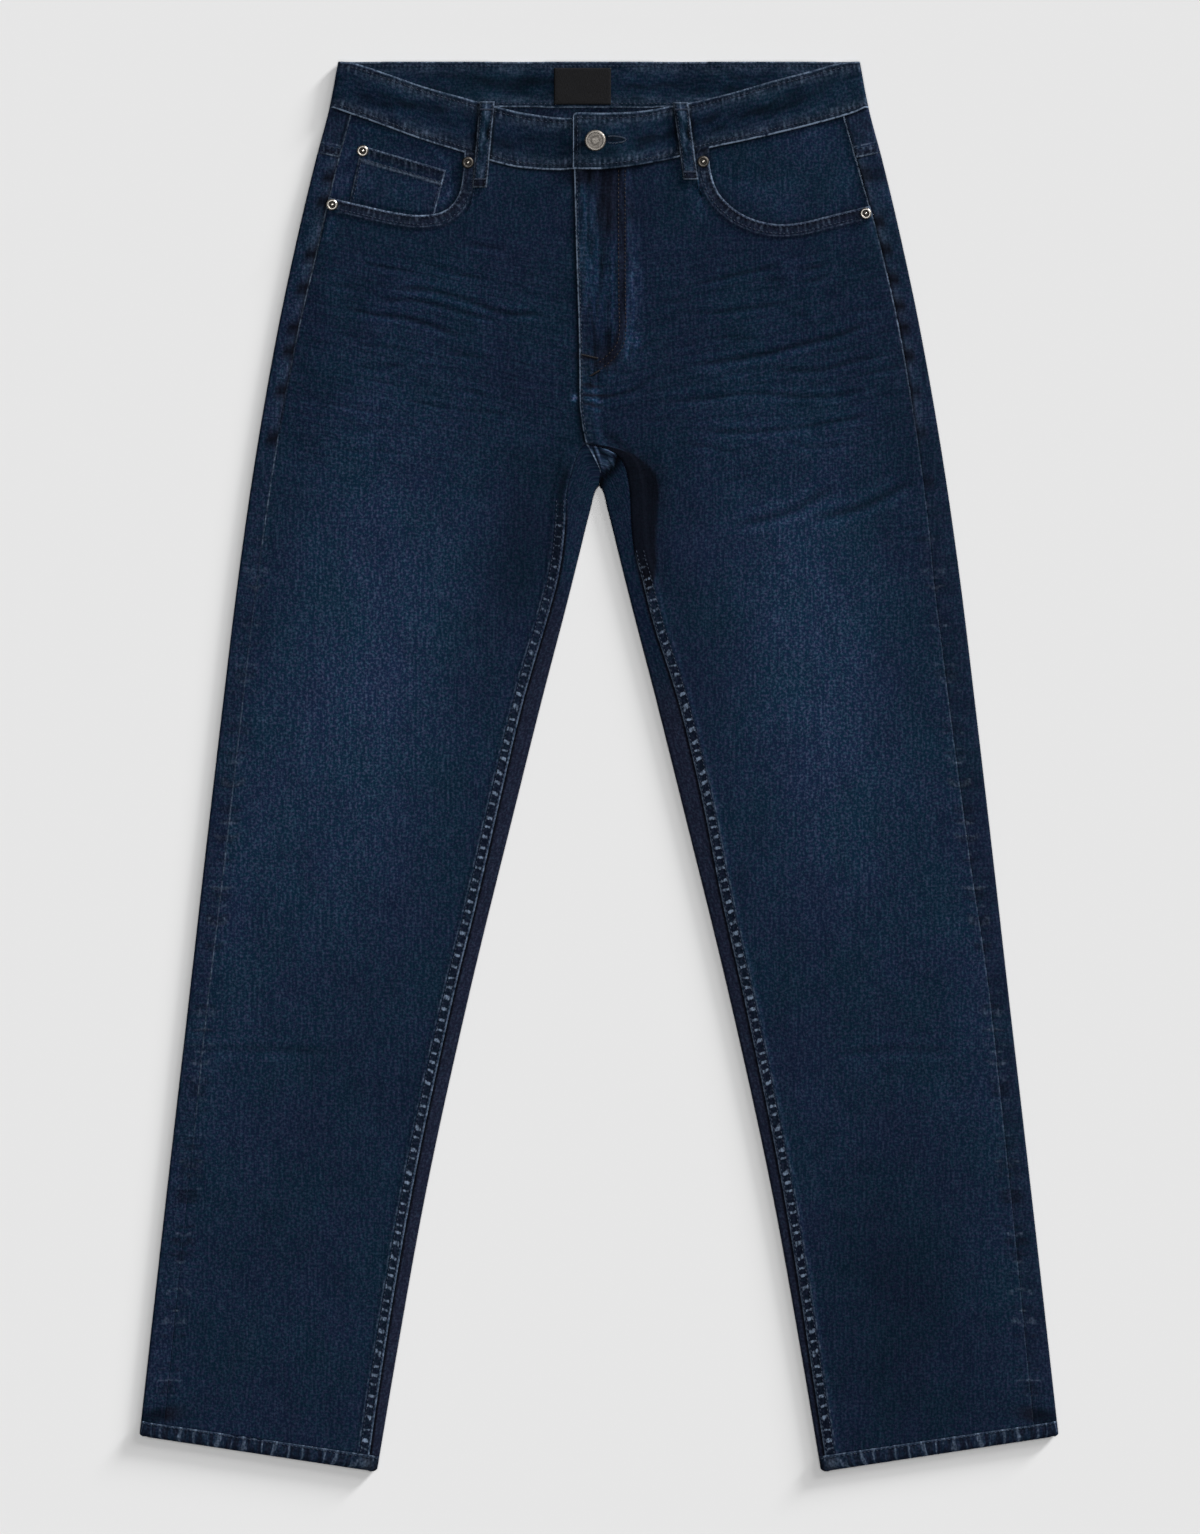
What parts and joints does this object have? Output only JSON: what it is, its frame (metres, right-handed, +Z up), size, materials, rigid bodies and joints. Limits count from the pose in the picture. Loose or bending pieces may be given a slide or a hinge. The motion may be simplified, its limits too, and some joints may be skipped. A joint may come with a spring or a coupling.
{
  "type": "straight leg jeans, laid flat",
  "caption": "Straight leg denim jeans lying flat with the front up, zip fly closed by a shank button, with front pockets, back pockets, belt loops and turned-up hems.",
  "frame": {"origin": "on the table under the middle of the garment's outline", "axes": "+X to the wearer's left, +Y from the hems to the waist, +Z up from the table through the back and then the front"},
  "size_m": [0.7338, 1.1272, 0.016],
  "materials": {
    "denim": "dark indigo right-hand twill denim, one layer, slightly faded at the thighs",
    "denim_double": "the same denim folded double and topstitched, with rubbed edges",
    "antique_nickel": "antique nickel, satin, darkened in its grooves",
    "label_satin": "plain black woven satin, no text"
  },
  "bodies": {
    "root": {"front_right": "denim", "front_left": "denim", "back_right": "denim", "back_left": "denim", "yoke_right": "denim", "yoke_left": "denim", "pocket_facing_right": "denim", "pocket_facing_left": "denim", "coin_pocket": "denim", "back_pocket_right": "denim", "back_pocket_left": "denim", "waistband": "denim_double", "belt_loop_front_right": "denim_double", "belt_loop_front_left": "denim_double", "belt_loop_back_right": "denim_double", "belt_loop_back_left": "denim_double", "belt_loop_back_centre": "denim_double", "hem_right": "denim_double", "hem_left": "denim_double", "label": "label_satin", "button": "antique_nickel", "rivet_coin": "antique_nickel", "rivet_right_side": "antique_nickel", "rivet_right_top": "antique_nickel", "rivet_left_top": "antique_nickel", "rivet_left_side": "antique_nickel"}
  },
  "joints": []
}
